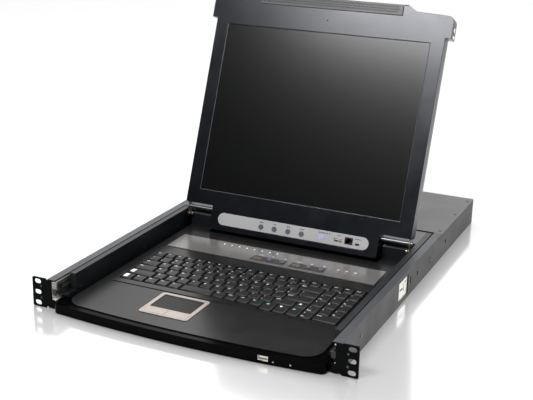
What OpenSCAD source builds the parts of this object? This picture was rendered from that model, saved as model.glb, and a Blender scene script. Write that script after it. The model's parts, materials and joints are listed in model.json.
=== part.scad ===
// Rack-mounted KVM console drawer, one rack unit high: a steel chassis that holds the
// switch electronics, a drawer on telescopic slides with a keyboard and a touchpad,
// and a flat display that folds down over the keys.
//
// Millimetres. +X is the operator's right, -Y is the front, +Z is up. The origin is on
// the supporting surface, at the middle of the object's length and width.
// "Rack frame" below means the same axes with Y = 0 on the front face of the rack ears.

/* [Chassis] */
// Width over the side walls
chassis_w = 435; // [434:0.5:436]
// Height of the top flanges above the supporting surface
chassis_h = 42.7; // [42.5:0.1:43]
// Distance from the ears' front face to the rear face
chassis_l = 641.9; // [635:0.1:650]
// Steel sheet thickness
sheet = 1.2; // [1:0.1:1.4]
// Inner edge of the top flanges, from the centre line
flange_x = 205.5; // [205.3:0.1:205.8]
// Front edge of the rear cover
cover_y = 443; // [441:0.5:446]

/* [Rack ears] */
// Width over the two ears
ear_span = 482.6; // [482:0.1:483]
// Height of an ear
ear_h = 43.6; // [43.2:0.1:43.9]
// Ear plate thickness
ear_t = 2; // [1.8:0.1:2.2]
// Distance between the left and the right mounting slots
slot_span = 465.1; // [464.8:0.1:465.4]
// Distance from the middle slot to the upper and the lower one
slot_pitch = 15.875; // [15.8:0.005:15.9]
// Slot length, end to end
slot_l = 10.8; // [10:0.1:12]
// Slot width
slot_w = 7; // [6.8:0.1:7.2]

/* [Drawer] */
// Inner face of the drawer walls, from the centre line
drawer_x = 195; // [194.8:0.1:195.4]
// Half width of the front fascia
fascia_x = 201; // [200:0.5:201.5]
// How far the middle of the fascia stands in front of the ears
fascia_front = 21; // [20:0.5:22]
// How far the fascia curves back towards its ends
fascia_bow = 11; // [9:0.5:12]
// Height of the palm rest's surface
deck_z = 16; // [15.8:0.1:16.2]
// Half width of the palm rest
deck_x = 187; // [186:0.5:188]

/* [Keyboard] */
// Left edge of the key field
keys_x = -168; // [-168.5:0.1:-167.5]
// Pitch of the letter keys
key_u = 19; // [18.8:0.05:19.1]
// Pitch of the key rows
row_pitch = 19.6; // [19.4:0.1:19.6]
// Gap between two keys
key_gap = 1.6; // [1.4:0.1:2]
// Height of the key tops
key_top = 18.3; // [18:0.1:18.4]

/* [Display] */
// How far the open display leans back from upright, in degrees
recline = 20.6; // [18:0.2:22]
// Half width of the screen opening
screen_x = 171.8; // [171:0.1:172.5]
// Height of the screen opening
screen_h = 276; // [274:0.5:277]
// Half width of the display housing
housing_x = 193.5; // [192.5:0.1:193.6]
// Half width of the display's top bar
bar_x = 202.8; // [201:0.1:203]
// Top of the display above the screen's lower edge
housing_top = 332; // [330:0.5:332]
// Thickness of the display
housing_t = 21; // [20:0.1:21.2]

/* [Hinge] */
// Height of the tilt axis above the supporting surface
pivot_z = 34.8; // [34.6:0.1:35]
// Distance from the ears' front face to the tilt axis
pivot_y = 362.7; // [362:0.1:363]
// Tilt axis behind the display's front face
pivot_depth = 15.3; // [15.2:0.1:15.4]
// Tilt axis below the screen's lower edge
pivot_drop = 42.6; // [42:0.1:43]
// Radius of the hinge pins
pin_r = 2.4; // [2.2:0.05:2.5]

/* [Hidden] */
$fn = 48;

// Rear-most point: the shells of the rear sockets
socket_out = 5.6;
rear_y = chassis_l + socket_out;
// Rack frame to the object's own frame
shift_y = -(rear_y - fascia_front) / 2;
wall_x = chassis_w / 2;
inner_wall_x = wall_x - sheet;
lid_z = chassis_h - sheet;
// Inner edge of an ear plate
ear_inner_x = 210.5;

// Holes in the side walls for the rear rack brackets
bracket_ys = [317, 470];
bracket_z = 21.7;
bracket_r = 3;

// Telescopic slides: web faces from the centre line, and heights
outer_web = [211, 212.4];
middle_web = [208.8, 210];
inner_web = [205.4, 206.6];
outer_z = [10.5, 38.5];
middle_z = [14.8, 34.2];
inner_z = [18, 31];

// Drawer
outer_wall_x = 202.4;
drawer_wall_out = outer_wall_x + sheet;
base_z = [2.2, 3.4];
notch_y = 36.5;
notch_z = 18.8;
drawer_back = 437;
deck_t = 1.5;
shelf_z = deck_z - deck_t;
pit_x = 146;
pit_front = 344;
pit_back = 386;
deck_back = 364;
hinge_box_y = [365, 378];
hinge_box_x = [146, 188.4];

// Keyboard: rows named by the front edge of their keys
bottom_row_y = 107.5;
pad_front_y = 99.5;
main_units = 15;
pad_x = keys_x + main_units * key_u;
pad_end_x = 173.5;
function_y = bottom_row_y + 5 * row_pitch;
function_depth = 17;
keys_back_y = function_y + function_depth;
cap_bottom = 13;
frame_rim = 4;
frame_gap = 0.8;

// Touchpad frame and its two windows, [x range, y range]
pad_frame = [[-83.5, -8.4], [19, 90]];
pad_window = [[-77.5, -14.4], [40.5, 84.5]];
button_window = [[-80, -11.9], [22, 37.5]];
pad_split_x = -46;

// Port panel
panel_x = 171.5;
panel_y = [254, 311];
panel_t = 1;
panel_z = deck_z + panel_t;
port_led_x = -94;
port_led_pitch = 13.1;
port_led_y = 301;
lock_led_xs = [105.4, 118.9, 132.5];
insets = [-3.7, 60.6];
inset_y = 270;
window_dx = -18.8;
port_button_dxs = [1, 21.3];
button_y = 272.3;
port_button_r = 4;

// Display, measured from the screen's lower edge and from the front face
housing_low = -24;
tongue_x = 144;
tongue_low = -62;
bar_low = 285;
bezel_depth = 8;
shell = 2;
strip_mid = [-0.75, -43];
strip_half = 119.75;
strip_r = 10;
strip_proud = 0.5;
menu_xs = [-53, -29.8, -6.1, 17.1];
menu_s = -45;
power_button_at = [50, -44.4];
round_button_r = 4;
button_clear = 0.3;
usb_size = [12.6, 5.2];
display_usb_at = [79, -44.5];
jack_x = [90, 103];
jack_s = [-48.2, -37.6];
switch_at = [110.7, -46];
arm_x = [189.5, 191.5];
tube_at = [10, -30.3];
tube_r = 2.8;
tube_end_x = 194.3;
grille_x = 121;
grille_s = [314, 331.2];

// Rear connectors, along X, at one height
port_z = 21;
computer_port_x = -57;
computer_port_pitch = 33;
computer_port_count = 8;
console_xs = [-135, -118];
console_video_x = -92;
inlet_x = -184;
rocker_x = -156;
rocker_y = chassis_l - 4.4;
rocker_tilt = 7;

// ---- helpers ----

module rack_frame() { translate([0, shift_y, 0]) children(); }

module block(x, y, z) {
    translate([x[0], y[0], z[0]]) cube([x[1] - x[0], y[1] - y[0], z[1] - z[0]]);
}

module both_sides() {
    children();
    mirror([1, 0, 0]) children();
}

// A flat outline in X and Z, made solid from y0 to y1
module facing_front(y0, y1) {
    translate([0, y1, 0]) rotate([90, 0, 0]) linear_extrude(y1 - y0) children();
}

// A flat outline in Y and Z, made solid from x0 to x1
module facing_side(x0, x1) {
    translate([x0, 0, 0]) rotate([90, 0, 90]) linear_extrude(x1 - x0) children();
}

// A round bar along X
module bar_x_axis(x0, x1, r, y, z) {
    translate([x0, y, z]) rotate([0, 90, 0]) cylinder(h = x1 - x0, r = r);
}

// A round bar along Y
module bar_y_axis(y0, y1, r, x, z) {
    translate([x, y1, z]) rotate([90, 0, 0]) cylinder(h = y1 - y0, r = r);
}

// The display's own axes: X, depth behind the front face, height above the screen's edge
module on_display() {
    rack_frame()
        translate([0, pivot_y, pivot_z])
            rotate([-recline, 0, 0])
                translate([0, -pivot_depth, pivot_drop]) children();
}

function arc(cx, cy, r, from, to, steps) =
    [for (i = [0:steps]) let (a = from + (to - from) * i / steps) [cx + r * cos(a), cy + r * sin(a)]];
function mirrored(half) = concat(half, [for (i = [len(half) - 1:-1:0]) [-half[i][0], half[i][1]]]);
function run(widths, n) = n == 0 ? 0 : widths[n - 1] + run(widths, n - 1);
function ones(n) = [for (i = [1:n]) 1];

// A rectangle with round corners, made of exact pieces
module round_rect(x, y, r) {
    translate([x[0] + r, y[0]]) square([x[1] - x[0] - 2 * r, y[1] - y[0]]);
    translate([x[0], y[0] + r]) square([x[1] - x[0], y[1] - y[0] - 2 * r]);
    for (cx = [x[0] + r, x[1] - r], cy = [y[0] + r, y[1] - r]) translate([cx, cy]) circle(r = r);
}

// ---- chassis ----

module bottom_pan() {
    color("#26292b") rack_frame()
        block([-inner_wall_x, inner_wall_x], [ear_t, chassis_l - sheet], [0, sheet]);
}

module cover_screw_places() {
    for (x = [-211, 211], y = [455, 545, 625]) translate([x, y]) children();
    for (x = [-120, 0, 120]) translate([x, 636]) children();
}

module side_wall() {
    wall_slots = [[382, 20.4], [284, 22.6]];
    difference() {
        union() {
            block([inner_wall_x, wall_x], [ear_t, cover_y], [0, chassis_h]);
            block([inner_wall_x, wall_x], [cover_y, chassis_l], [0, lid_z]);
            block([flange_x, inner_wall_x], [ear_t, cover_y], [lid_z, chassis_h]);
            block([flange_x, inner_wall_x], [cover_y - sheet, chassis_l - sheet], [lid_z - sheet, lid_z]);
        }
        for (y = bracket_ys) bar_x_axis(210, 220, bracket_r, y, bracket_z);
        for (s = wall_slots) {
            for (dz = [-4, 4]) bar_x_axis(210, 220, 1.8, s[0], s[1] + dz);
            block([210, 220], [s[0] - 1.8, s[0] + 1.8], [s[1] - 4, s[1] + 4]);
        }
        block([210, 220], [229, 272], [6.5, 36]);
        bar_x_axis(210, 220, 1.7, 626, 19.7);
        translate([0, 0, 35]) linear_extrude(10) cover_screw_places() circle(r = 1.7);
    }
}

module left_side_wall() { color("#3a3d3a") rack_frame() mirror([1, 0, 0]) side_wall(); }

module right_side_wall() { color("#3a3d3a") rack_frame() side_wall(); }

module rear_top_cover() {
    color("#6f7173") rack_frame() difference() {
        block([-wall_x, wall_x], [cover_y, chassis_l], [lid_z, chassis_h]);
        translate([0, 0, 40]) linear_extrude(5) cover_screw_places() circle(r = 1.7);
    }
}

module dsub_outline(grow) {
    polygon([[-7.6 - grow, -4 - grow], [7.6 + grow, -4 - grow], [8.6 + grow, 4 + grow],
        [-8.6 - grow, 4 + grow]]);
}

module computer_port_places() {
    for (i = [0:computer_port_count - 1])
        translate([computer_port_x + i * computer_port_pitch, 0, port_z]) children();
}

module rear_panel() {
    color("#4a4c4e") rack_frame() difference() {
        union() {
            block([-inner_wall_x, inner_wall_x], [chassis_l - sheet, chassis_l], [0, lid_z]);
            block([-204, 204], [632, chassis_l - sheet], [lid_z - sheet, lid_z]);
        }
        computer_port_places() facing_front(630, 650) dsub_outline(0.5);
        translate([console_video_x, 0, port_z]) facing_front(630, 650) dsub_outline(0.5);
        for (x = console_xs) bar_y_axis(630, 650, 6.8, x, port_z);
        block([inlet_x - 13.8, inlet_x + 13.8], [630, 650], [port_z - 10.2, port_z + 10.2]);
        block([rocker_x - 7, rocker_x + 7], [630, 650], [port_z - 10.2, port_z + 10.2]);
        translate([0, 0, 35]) linear_extrude(10) cover_screw_places() circle(r = 1.7);
    }
}

module rack_ear() {
    slot_x = slot_span / 2;
    half_run = (slot_l - slot_w) / 2;
    difference() {
        facing_front(0, ear_t) polygon([[ear_inner_x, 1.5], [213, 1.5], [213, 3], [217.5, 3], [219, 0],
            [ear_span / 2 - 1.5, 0], [ear_span / 2, 1.5], [ear_span / 2, ear_h - 1.5],
            [ear_span / 2 - 1.5, ear_h], [220, ear_h], [217.5, 41.4], [ear_inner_x, 41.4]]);
        for (z = [ear_h / 2 - slot_pitch, ear_h / 2, ear_h / 2 + slot_pitch]) {
            for (dx = [-half_run, half_run]) bar_y_axis(-1, 3, slot_w / 2, slot_x + dx, z);
            block([slot_x - half_run, slot_x + half_run], [-1, 3], [z - slot_w / 2, z + slot_w / 2]);
        }
    }
    // Low stop lip beside the drawer's front end
    block([flange_x, ear_inner_x + 1], [0, ear_t], [1.5, 13.6]);
    block([inner_wall_x - 1.5, inner_wall_x], [ear_t, 32], [6, 36]);
}

module rack_ears() { color("#1d1f20") rack_frame() both_sides() rack_ear(); }

module c_section(web, z, lip_x, y) {
    block(web, y, z);
    block([lip_x, web[0]], y, [z[0], z[0] + sheet]);
    block([lip_x, web[0]], y, [z[1] - sheet, z[1]]);
}

module slide_outer_members() {
    color("#b9bbb8") rack_frame() both_sides() {
        c_section(outer_web, outer_z, 207.2, [4, 432]);
        for (y = [60, 380]) block([outer_web[1], inner_wall_x], [y, y + 30], [16, 34]);
    }
}

module slide_middle_members() {
    color("#c4c6c3") rack_frame() both_sides()
        c_section(middle_web, middle_z, 205.2, [15, 425]);
}

module chassis_screws() {
    color("#9a9c9e") rack_frame() {
        cover_screw_places() {
            translate([0, 0, chassis_h]) cylinder(h = 0.6, r = 2.9);
            translate([0, 0, 39.2]) cylinder(h = chassis_h - 39.2, r = 1.5);
        }
        both_sides() {
            bar_x_axis(wall_x, wall_x + 0.8, 3, 626, 19.7);
            bar_x_axis(inner_wall_x - 2, wall_x, 1.5, 626, 19.7);
        }
    }
}

// ---- electronics at the rear ----

module switch_board() {
    board_x = [-134, 196];
    color("#1f5a3a") rack_frame() difference() {
        union() {
            block(board_x, [470, 632], [8, 9.6]);
            for (i = [0:7]) block([-90 + i * 34, -70 + i * 34], [570, 590], [9.6, 11.8]);
            block([-20, 16], [510, 546], [9.6, 12]);
            block([60, 84], [505, 529], [9.6, 12]);
            for (x = [-126, 188], y = [478, 622]) translate([x, y, sheet]) cylinder(h = 6.8, r = 3.5);
        }
        for (x = [-126, 188], y = [478, 622]) translate([x, y, 3]) cylinder(h = 8, r = 1.6);
    }
}

module power_supply() {
    color("#8a8c8e") rack_frame() {
        difference() {
            block([-204, -146], [470, 600], [sheet, 35]);
            block([-202.8, -147.2], [471.2, 598.8], [2.4, 36]);
        }
        block([-200, -150], [475, 595], [8, 9.6]);
        block([-190, -162], [500, 530], [9.6, 30]);
        for (y = [545, 565, 585]) translate([-190, y, 9.6]) cylinder(h = 20, r = 6);
        for (y = [545, 565]) block([-172, -156], [y, y + 12], [9.6, 26]);
        for (x = [-198, -152], y = [478, 592]) translate([x, y, 2.4]) cylinder(h = 5.6, r = 2.5);
    }
}

// One 15-way video socket: shell, insulator and two jack posts
module video_socket() {
    facing_front(chassis_l, rear_y) difference() {
        dsub_outline(0.3);
        dsub_outline(-0.4);
    }
    facing_front(chassis_l - 12, chassis_l) dsub_outline(0.3);
    difference() {
        facing_front(chassis_l, rear_y - 0.8) dsub_outline(-0.4);
        for (row = [-1:1], i = [-2:2])
            bar_y_axis(rear_y - 3, rear_y, 0.5, i * 2.3 + row * 0.55, row * 2);
    }
    for (x = [-12.5, 12.5]) bar_y_axis(chassis_l, chassis_l + 4.8, 2.4, x, 0);
}

module computer_ports() {
    color("#27408b") rack_frame() computer_port_places() video_socket();
}

module round_socket() {
    difference() {
        bar_y_axis(chassis_l - 12, chassis_l + 1.6, 6.6, 0, 0);
        bar_y_axis(chassis_l - 6, chassis_l + 3, 5, 0, 0);
    }
    difference() {
        bar_y_axis(chassis_l - 6, chassis_l + 0.8, 4.2, 0, 0);
        for (a = [30:60:330]) bar_y_axis(chassis_l - 2, chassis_l + 2, 0.6, 2.8 * cos(a), 2.8 * sin(a));
    }
}

module console_ports() {
    color("#4f3f7a") rack_frame() {
        for (x = console_xs) translate([x, 0, port_z]) round_socket();
        translate([console_video_x, 0, port_z]) video_socket();
    }
}

module power_inlet() {
    inlet_cavity = [[inlet_x - 12.2, inlet_x + 12.2], [port_z - 8.4, port_z + 8.4]];
    color("#17181a") rack_frame() {
        difference() {
            union() {
                block([inlet_x - 15.5, inlet_x + 15.5], [chassis_l, chassis_l + 1.6],
                    [port_z - 12.5, port_z + 12.5]);
                block([inlet_x - 13.8, inlet_x + 13.8], [616, chassis_l], [port_z - 10.2, port_z + 10.2]);
            }
            block(inlet_cavity[0], [622, 650], inlet_cavity[1]);
        }
        for (at = [[-7, -2], [7, -2], [0, 3]])
            block([inlet_x + at[0] - 1, inlet_x + at[0] + 1], [622, 639],
                [port_z + at[1] - 2, port_z + at[1] + 2]);
        difference() {
            union() {
                block([rocker_x - 8.5, rocker_x + 8.5], [chassis_l, chassis_l + 1.6],
                    [port_z - 11.8, port_z + 11.8]);
                block([rocker_x - 7, rocker_x + 7], [624, chassis_l], [port_z - 10.2, port_z + 10.2]);
            }
            block([rocker_x - 5.9, rocker_x + 5.9], [627, 650], [port_z - 9.4, port_z + 9.4]);
        }
    }
}

module power_rocker() {
    color("#111213") rack_frame()
        translate([rocker_x, rocker_y, port_z]) rotate([rocker_tilt, 0, 0]) difference() {
            bar_x_axis(-5.5, 5.5, 9, 0, 0);
            for (tip = [-1, 1]) rotate([tip * 10, 0, 0]) block([-6, 6], [5.8, 12], [-12, 12]);
            block([-6, 6], [-12, -5], [-12, 12]);
        }
}

// ---- drawer ----

module drawer_side_walls() {
    color("#2b2e30") rack_frame() both_sides() difference() {
        union() {
            block([drawer_x, drawer_x + sheet], [19, drawer_back], [base_z[1], chassis_h]);
            block([outer_wall_x, drawer_wall_out], [19, drawer_back], [base_z[0], chassis_h]);
            block([drawer_x + sheet, outer_wall_x], [notch_y, drawer_back], [lid_z, chassis_h]);
            block([drawer_x + sheet, outer_wall_x], [notch_y, notch_y + sheet], [notch_z, lid_z]);
            block([drawer_x + sheet, outer_wall_x], [19, notch_y + sheet], [notch_z - sheet, notch_z]);
            block([drawer_x + sheet, outer_wall_x], [19, 19 + sheet], [base_z[1], notch_z - sheet]);
        }
        block([190, 210], [10, notch_y], [notch_z, 50]);
    }
}

module drawer_base() {
    color("#2b2e30") rack_frame() difference() {
        block([-outer_wall_x, outer_wall_x], [19, drawer_back], base_z);
        for (x = [-120, 0, 120]) translate([x, 400, 0]) cylinder(h = 5, r = 8);
    }
}

module rear_deck() {
    color("#5d5f61") rack_frame() {
        difference() {
            block([-drawer_x, drawer_x], [hinge_box_y[1], drawer_back], [lid_z, chassis_h]);
            block([-pit_x, pit_x], [370, pit_back], [40, 45]);
        }
        both_sides() {
            block([pit_x, drawer_x], [hinge_box_y[1], hinge_box_y[1] + sheet], [35, lid_z]);
            block([pit_x, pit_x + sheet], [hinge_box_y[1] + sheet, pit_back], [8, lid_z]);
        }
        block([-pit_x - sheet, pit_x + sheet], [pit_back, pit_back + sheet], [8, lid_z]);
        block([-drawer_x, drawer_x], [drawer_back - sheet, drawer_back], [base_z[1], lid_z]);
    }
}

module hinge_box() {
    wall = 1.5;
    lug_r = 4.2;
    difference() {
        union() {
            block(hinge_box_x, hinge_box_y, [base_z[1], 35]);
            bar_x_axis(hinge_box_x[1] - wall, hinge_box_x[1], lug_r, pivot_y, pivot_z);
            block([hinge_box_x[1] - wall, hinge_box_x[1]], [pivot_y, hinge_box_y[0]],
                [pivot_z - lug_r, pivot_z]);
        }
        block([hinge_box_x[0] + wall, hinge_box_x[1] - wall], [hinge_box_y[0] + wall, 380],
            [0, 35 - wall]);
        bar_x_axis(180, 195, pin_r, pivot_y, pivot_z);
    }
}

module hinge_boxes() { color("#1c1e20") rack_frame() both_sides() hinge_box(); }

module hinge_pins() {
    color("#b08d4f") rack_frame() both_sides() {
        bar_x_axis(hinge_box_x[1] - 4, arm_x[1] + 0.2, pin_r, pivot_y, pivot_z);
        bar_x_axis(arm_x[1] + 0.2, arm_x[1] + 1.6, 3.6, pivot_y, pivot_z);
        difference() {
            bar_x_axis(hinge_box_x[1], arm_x[0] - 0.1, 4, pivot_y, pivot_z);
            bar_x_axis(hinge_box_x[1] - 1, arm_x[0] + 1, pin_r, pivot_y, pivot_z);
        }
    }
}

module slide_inner_members() {
    color("#c4c6c3") rack_frame() both_sides() {
        block(inner_web, [20, 430], inner_z);
        for (y = [70, 222, 390]) block([drawer_wall_out, inner_web[0]], [y, y + 24], [20, 29]);
    }
}

// The curve of the fascia's front, at a distance back from it
function bow_y(x, back) = back - fascia_front + fascia_bow * pow(x / fascia_x, 2);
function bow_line(x0, x1, back, steps) =
    [for (i = [0:steps]) let (x = x0 + (x1 - x0) * i / steps) [x, bow_y(x, back)]];

module fascia_outline(inset) {
    end_r = 8;
    half = fascia_x - inset;
    difference() {
        polygon(concat(bow_line(-half, half, inset, 24), [[half, 18.5], [-half, 18.5]]));
        both_sides() difference() {
            translate([half - end_r, -30]) square([30, 30 + bow_y(half, inset) + end_r]);
            translate([half - end_r, bow_y(half - end_r, inset) + end_r]) circle(r = end_r);
        }
    }
}

module usb_place(at) { translate([at[0], 0, at[1]]) children(); }
fascia_usb_at = [120, 8.2];
fascia_usb_y = bow_y(fascia_usb_at[0], 0);

module front_fascia() {
    wall = 2.4;
    color("#0c0d0e") rack_frame() difference() {
        translate([0, 0, 1.4]) linear_extrude(shelf_z - 1.4) fascia_outline(0);
        translate([0, 0, 0]) linear_extrude(shelf_z - 1.5) fascia_outline(wall);
        block([-190, 190], [10, 30], [0, shelf_z - 1.5]);
        block([fascia_usb_at[0] - 7.6, fascia_usb_at[0] + 7.6], [-30, 0],
            [fascia_usb_at[1] - 3.8, fascia_usb_at[1] + 3.8]);
        for (x = [133.8, 156.7]) bar_y_axis(-30, 0, 1.2, x, 5.4);
    }
}

// A four-contact rectangular socket that opens towards -Y, its mouth at y
module usb_socket(y, depth) {
    w = usb_size[0];
    h = usb_size[1];
    difference() {
        block([-w / 2 - 0.8, w / 2 + 0.8], [y, y + depth], [-h / 2 - 0.8, h / 2 + 0.8]);
        block([-w / 2, w / 2], [y - 1, y + depth - 1.5], [-h / 2, h / 2]);
    }
    block([-w / 2 + 0.8, w / 2 - 0.8], [y + 1, y + depth - 1.5], [0.2, 2]);
}

module front_usb_port() {
    color("#c9cbcd") rack_frame() usb_place(fascia_usb_at) usb_socket(fascia_usb_y + 0.4, 14);
}

module deck_outline() {
    front_r = 26;
    half = deck_x;
    difference() {
        polygon(concat(bow_line(-half, half, 10.5, 20), [[half, deck_back], [-half, deck_back]]));
        both_sides() difference() {
            translate([half - front_r, -30]) square([40, 30 + front_r + bow_y(half - front_r, 10.5)]);
            translate([half - front_r, front_r + bow_y(half - front_r, 10.5)]) circle(r = front_r);
        }
        translate([-pit_x, pit_front]) square([2 * pit_x, 40]);
    }
}

key_field = [[keys_x - frame_gap, pad_end_x + frame_gap], [pad_front_y - frame_gap, keys_back_y + frame_gap]];

module palm_rest_deck() {
    side_y = [18.5, deck_back];
    color("#3a3b3d") rack_frame() difference() {
        union() {
            translate([0, 0, shelf_z]) linear_extrude(deck_t) deck_outline();
            both_sides() block([deck_x - deck_t, deck_x], side_y, [base_z[1], shelf_z]);
            block([-deck_x, deck_x], [18.5, 20], [base_z[1], shelf_z]);
            block([-pit_x, pit_x], [pit_front - deck_t, pit_front], [base_z[1], shelf_z]);
        }
        block([key_field[0][0] - 1.2, key_field[0][1] + 1.2],
            [key_field[1][0] - 1.2, key_field[1][1] + 1.2], [14, 17]);
        block([-81, -11], [21, 86], [12, 17]);
        block([-100, 150], [257, 307], [14, 17]);
    }
}

module keyboard_frame() {
    out_x = [key_field[0][0] - frame_rim, key_field[0][1] + frame_rim];
    out_y = [key_field[1][0] - frame_rim, key_field[1][1] + frame_rim];
    color("#2c2d2f") rack_frame() difference() {
        union() {
            translate([0, 0, deck_z]) linear_extrude(0.9) round_rect(out_x, out_y, 3);
            block([key_field[0][0] - 1.2, key_field[0][1] + 1.2],
                [key_field[1][0] - 1.2, key_field[1][1] + 1.2], [11, deck_z]);
        }
        block(key_field[0], key_field[1], [5, 20]);
    }
    // Fillet strip in front of the main block, whose keys stop short of the number pad's
    color("#2c2d2f") rack_frame()
        block([key_field[0][0], arrow_x - frame_gap], [key_field[1][0], bottom_row_y - frame_gap],
            [11, deck_z + 0.9]);
}

module keyboard_board() {
    color("#7d8083") rack_frame() {
        block([key_field[0][0] - 1.2, key_field[0][1] + 1.2],
            [key_field[1][0] - 1.2, key_field[1][1] + 1.2], [9.8, 11]);
        for (x = [-150, -50, 50, 150], y = [120, 210])
            translate([x, y, base_z[1]]) cylinder(h = 9.8 - base_z[1], r = 3);
    }
}

// A key cap, w by d, with a narrower top
module key_cap(w, d) {
    skirt = 2.4;
    block([0, w], [0, d], [cap_bottom, cap_bottom + skirt]);
    block([1.3, w - 1.3], [1.2, d - 1], [cap_bottom + skirt, key_top]);
}

// A row of keys from x, their widths in units, between two Y values
module key_row(x, unit, widths, y0, y1) {
    for (i = [0:len(widths) - 1])
        translate([x + unit * run(widths, i) + key_gap / 2, y0, 0])
            key_cap(widths[i] * unit - key_gap, y1 - y0 - key_gap);
}

module main_row(row, widths) {
    y = bottom_row_y + row * row_pitch;
    color("#33343a") rack_frame() key_row(keys_x, key_u, widths, y, y + row_pitch);
}

module function_key_row() {
    count = 20;
    color("#2f3036") rack_frame()
        key_row(keys_x, (pad_end_x - keys_x) / count, ones(count), function_y, keys_back_y);
}
module number_key_row() { main_row(4, concat(ones(13), [2])); }
module upper_key_row() { main_row(3, concat([1.5], ones(12), [1.5])); }
module home_key_row() { main_row(2, concat([1.75], ones(11), [2.25])); }
module lower_key_row() { main_row(1, concat([2.25], ones(10), [1.75, 1])); }

// Bottom row: modifiers, space bar, four keys, and three deeper arrow keys
space_x = keys_x + 5.15 * key_u;
after_space_x = space_x + 2.7 * key_u;
arrow_x = after_space_x + 4 * key_u;
module bottom_key_row() {
    y0 = bottom_row_y;
    y1 = y0 + row_pitch;
    color("#33343a") rack_frame() {
        key_row(keys_x, 1.03 * key_u, ones(5), y0, y1);
        key_row(space_x, key_u, [2.7], y0, y1);
        key_row(after_space_x, key_u, ones(4), y0, y1);
        key_row(arrow_x, (pad_x - arrow_x) / 3, ones(3), pad_front_y, y1);
    }
}

module number_pad_keys() {
    unit = (pad_end_x - pad_x) / 3;
    pitch = (function_y - pad_front_y) / 5;
    color("#33343a") rack_frame() {
        key_row(pad_x, unit, [1, 2], pad_front_y, pad_front_y + pitch);
        for (row = [1:4])
            key_row(pad_x, unit, ones(3), pad_front_y + row * pitch, pad_front_y + (row + 1) * pitch);
    }
}

module touchpad_frame() {
    color("#b9aca4") rack_frame() translate([0, 0, deck_z]) linear_extrude(1) difference() {
        round_rect(pad_frame[0], pad_frame[1], 5);
        round_rect(pad_window[0], pad_window[1], 2);
        round_rect(button_window[0], button_window[1], 0.8);
    }
}

module touchpad_surface() {
    color("#4a4a4d") rack_frame() block([-80.6, -11.4], [38.6, 85.6], [13.6, deck_z]);
}

module pad_button(x) {
    gap = 0.4;
    rack_frame() block(x, [button_window[1][0] + gap, button_window[1][1] - gap], [14.2, 17.2]);
}
module touchpad_left_button() {
    color("#c9beb6") pad_button([button_window[0][0] + 0.4, pad_split_x - 0.3]);
}
module touchpad_right_button() {
    color("#c9beb6") pad_button([pad_split_x + 0.3, button_window[0][1] - 0.4]);
}

module port_led_places() {
    for (i = [0:7]) translate([port_led_x + i * port_led_pitch, port_led_y]) children();
    for (x = lock_led_xs) translate([x, 275]) children();
}

module inset_outline() {
    polygon([[-28.5, -10], [28.5, -10], [28.5, 10], [-27, 10]]);
}

module port_panel() {
    color("#a19d9b") rack_frame() difference() {
        block([-panel_x, panel_x], panel_y, [deck_z, panel_z]);
        for (x = insets) {
            translate([x, inset_y, panel_z - 0.4]) linear_extrude(1) inset_outline();
            for (dx = port_button_dxs)
                translate([x + dx, button_y, 10]) cylinder(h = 10, r = port_button_r + button_clear);
            block([x + window_dx - 7, x + window_dx + 7], [inset_y - 4.5, inset_y + 6.5], [10, 20]);
        }
        translate([0, 0, 10]) linear_extrude(10) port_led_places() circle(r = 1.1);
        translate([147.3, 275.7, 10]) cylinder(h = 10, r = 0.9);
    }
}

module status_lights() {
    color("#6b4f45") rack_frame() {
        for (x = insets)
            block([x + window_dx - 6.8, x + window_dx + 6.8], [inset_y - 4.3, inset_y + 6.3],
                [15, panel_z - 0.1]);
        translate([0, 0, 15.2]) linear_extrude(2) port_led_places() circle(r = 1);
        for (x = [133.8, 156.7]) bar_y_axis(bow_y(x, 0) + 0.1, bow_y(x, 0) + 2, 1.1, x, 5.4);
    }
}

module port_button(at) {
    color("#7d8794") rack_frame() translate([at[0], at[1], 15]) cylinder(h = 3, r = port_button_r);
}
module station_up_button() { port_button([insets[0] + port_button_dxs[0], button_y]); }
module station_down_button() { port_button([insets[0] + port_button_dxs[1], button_y]); }
module port_up_button() { port_button([insets[1] + port_button_dxs[0], button_y]); }
module port_down_button() { port_button([insets[1] + port_button_dxs[1], button_y]); }

// Spring-steel release lever in the gap between the drawer wall and the slide
module drawer_catch() {
    strip_x = 203.9;
    plate_y = [ear_t + 0.3, ear_t + 1.8];
    block([strip_x, strip_x + 1.2], [plate_y[1], 62], [22, 27]);
    block([strip_x, strip_x + 5.5], plate_y, [20, 29]);
}
module left_drawer_catch() { color("#9fa2a4") rack_frame() mirror([1, 0, 0]) drawer_catch(); }
module right_drawer_catch() { color("#9fa2a4") rack_frame() drawer_catch(); }

// ---- display ----

// Outline of the housing, drawn smaller by inset
function housing_outline(inset) = mirrored(concat(
    arc(tongue_x - 4, tongue_low + 4, 4 - inset, -90, 0, 4),
    [[tongue_x - inset, housing_low + inset]],
    arc(housing_x - 4, housing_low + 4, 4 - inset, -90, 0, 4),
    [[housing_x - inset, bar_low + inset], [bar_x - inset, bar_low + inset]],
    arc(bar_x - 10, 310, 10 - inset, 0, 90, 6),
    [[142, 322.5 - inset], [127, housing_top - inset]]));

// Side view of the housing, with the top bar's back rounded off
module housing_side() {
    top_r = 13;
    polygon(concat([[0, -70], [housing_t, -70]],
        arc(housing_t - top_r, housing_top - top_r, top_r, 0, 90, 8),
        arc(2.5, housing_top - 2.5, 2.5, 90, 180, 3)));
}

module strip_outline(grow) {
    translate(strip_mid) {
        square([2 * strip_half, 2 * (strip_r + grow)], center = true);
        for (x = [-strip_half, strip_half]) translate([x, 0]) circle(r = strip_r + grow);
    }
}

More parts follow.
